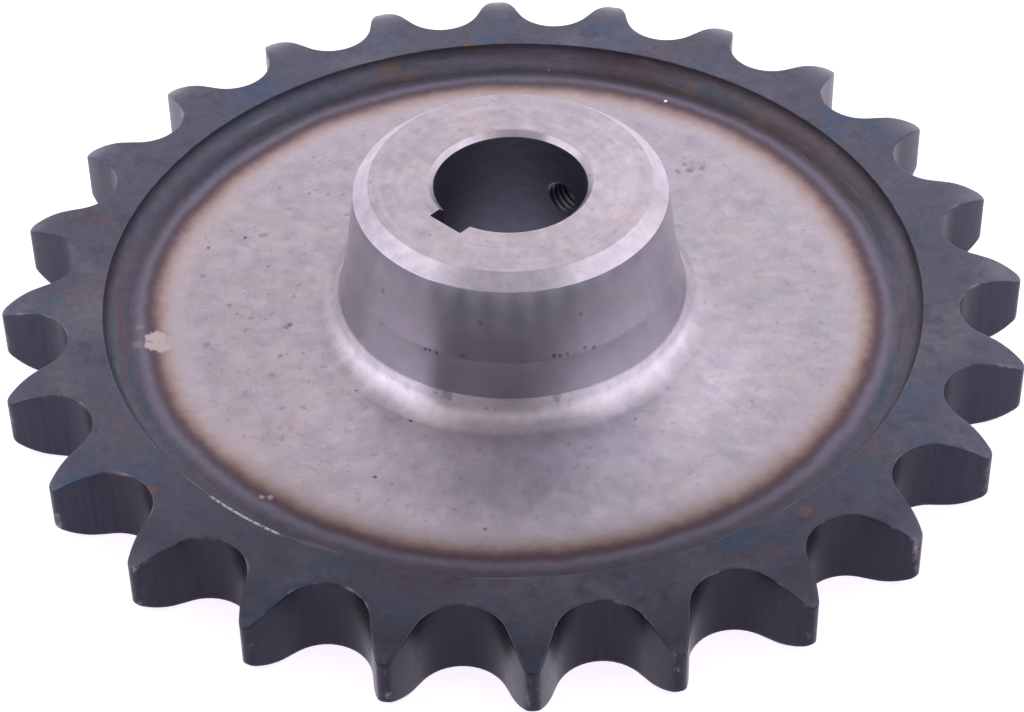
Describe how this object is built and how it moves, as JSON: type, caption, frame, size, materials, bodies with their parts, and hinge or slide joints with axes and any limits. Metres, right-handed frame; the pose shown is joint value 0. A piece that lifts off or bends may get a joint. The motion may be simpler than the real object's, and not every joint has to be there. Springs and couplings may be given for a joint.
{
  "type": "chain sprocket",
  "caption": "Steel roller chain sprocket with a hub on one side, a keyed bore, a radial set screw hole and a turned recess inside its rim.",
  "frame": {"origin": "centre of the bore in the plane of the plain back face", "axes": "+Z along the bore towards the end of the hub; the keyway points along -Y and the set screw hole along +Y"},
  "size_m": [0.2042, 0.2042, 0.0425],
  "materials": {
    "steel": "bare turned steel on the hub and web, blue-black heat-treated rim and teeth"
  },
  "bodies": {
    "root": {"sprocket": "steel"}
  },
  "joints": []
}
